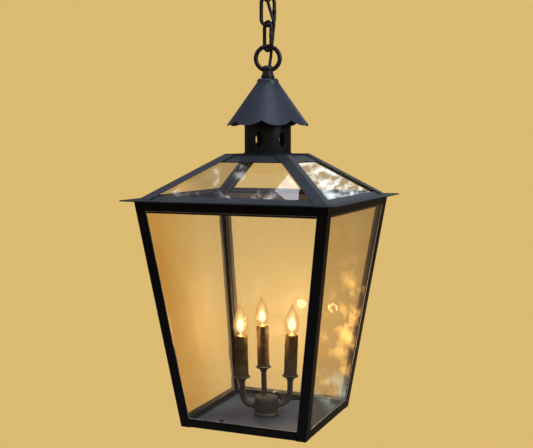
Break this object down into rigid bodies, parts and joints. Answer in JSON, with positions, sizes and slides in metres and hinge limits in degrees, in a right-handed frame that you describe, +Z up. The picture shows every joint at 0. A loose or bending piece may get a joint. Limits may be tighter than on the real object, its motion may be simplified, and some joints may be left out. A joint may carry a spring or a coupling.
{
  "type": "hanging lantern",
  "caption": "Square tapered metal and glass hanging lantern with a glazed pyramid roof, vented chimney, scalloped cap, candle cluster, side door, chain and ceiling canopy.",
  "frame": {"origin": "centre of the crossbar's top face, flat against the ceiling, on the lantern's axis", "axes": "+Z up out of the ceiling; -Y out of the lantern's front face, +X out of its right face; the door is on -X"},
  "size_m": [0.368, 0.368, 0.8468],
  "materials": {
    "black_metal": "satin black paint",
    "roof_metal": "dark blue-grey satin",
    "clear_glass": "clear sheet glass",
    "bronze_metal": "dark bronze satin",
    "sleeve": "dark candle sleeve",
    "socket": "plain brass",
    "bulb_glass": "clear flame bulb, lit",
    "cord": "black flex",
    "lead": "clear silver flex"
  },
  "bodies": {
    "canopy": {"ceiling_canopy": "black_metal", "ceiling_crossbar": "black_metal", "canopy_nipple": "black_metal", "canopy_loop": "black_metal", "supply_cord_4": "cord"},
    "link_3": {"chain_link_3": "black_metal", "supply_cord_3": "cord"},
    "link_2": {"chain_link_2": "black_metal", "supply_cord_2": "cord"},
    "link_1": {"chain_link_1": "black_metal", "supply_cord_1": "cord"},
    "lantern": {"post_front_right": "black_metal", "post_back_right": "black_metal", "post_back_left": "black_metal", "post_front_left": "black_metal", "top_rail_frame": "black_metal", "bottom_rail_frame": "black_metal", "door_stop": "black_metal", "door_hinge_upper": "black_metal", "door_hinge_lower": "black_metal", "hanging_loop": "black_metal", "cap_nipple": "black_metal", "cap_strap": "black_metal", "hip_front_right": "roof_metal", "hip_back_right": "roof_metal", "hip_back_left": "roof_metal", "hip_front_left": "roof_metal", "roof_eave_frame": "roof_metal", "roof_top_plate": "roof_metal", "chimney": "roof_metal", "chimney_cap": "roof_metal", "floor_plate": "roof_metal", "roof_pane_front": "clear_glass", "roof_pane_right": "clear_glass", "roof_pane_back": "clear_glass", "roof_pane_left": "clear_glass", "pane_front": "clear_glass", "pane_right": "clear_glass", "pane_back": "clear_glass", "hub_body": "bronze_metal", "hub_cap": "bronze_metal", "arm_left": "bronze_metal", "arm_right": "bronze_metal", "centre_stem": "bronze_metal", "cup_centre": "bronze_metal", "cup_left": "bronze_metal", "cup_right": "bronze_metal", "sleeve_centre": "sleeve", "socket_centre": "socket", "sleeve_left": "sleeve", "socket_left": "socket", "sleeve_right": "sleeve", "socket_right": "socket", "lead_wire": "lead"},
    "door": {"door_frame": "black_metal", "door_pane": "clear_glass", "door_knob": "black_metal"},
    "bulb_centre": {"bulb_centre": "bulb_glass"},
    "bulb_left": {"bulb_left": "bulb_glass"},
    "bulb_right": {"bulb_right": "bulb_glass"}
  },
  "joints": [
    {"name": "canopy_pivot", "type": "hinge", "parent": "canopy", "child": "link_3", "pos_m": [0, 0, -0.0866], "axis": [0.9239, 0.3827, 0], "range_deg": [-20, 20], "deforming": ["supply_cord_4"]},
    {"name": "upper_link_pivot", "type": "hinge", "parent": "link_3", "child": "link_2", "pos_m": [0, 0, -0.1279], "axis": [0.7934, -0.6088, 0], "range_deg": [-20, 20], "deforming": ["supply_cord_3"]},
    {"name": "lower_link_pivot", "type": "hinge", "parent": "link_2", "child": "link_1", "pos_m": [0, 0, -0.1698], "axis": [0.9239, 0.3827, 0], "range_deg": [-20, 20], "deforming": ["supply_cord_2"]},
    {"name": "ring_pivot", "type": "hinge", "parent": "link_1", "child": "lantern", "pos_m": [0, 0, -0.2117], "axis": [0.7934, -0.6088, 0], "range_deg": [-20, 20], "deforming": ["supply_cord_1"]},
    {"name": "door_hinge", "type": "hinge", "parent": "lantern", "child": "door", "pos_m": [-0.14151, 0.13061, -0.66], "axis": [0.1392, -0.1392, -0.9804], "range_deg": [0, 105]},
    {"name": "bulb_centre_lift", "type": "slide", "parent": "lantern", "child": "bulb_centre", "axis": [-0.0266, -0.011, 0.9996], "range_m": [0, 0.028]},
    {"name": "bulb_left_lift", "type": "slide", "parent": "lantern", "child": "bulb_left", "axis": [-0.0249, -0.0127, 0.9996], "range_m": [0, 0.028]},
    {"name": "bulb_right_lift", "type": "slide", "parent": "lantern", "child": "bulb_right", "axis": [0.0249, 0.0127, 0.9996], "range_m": [0, 0.028]}
  ]
}
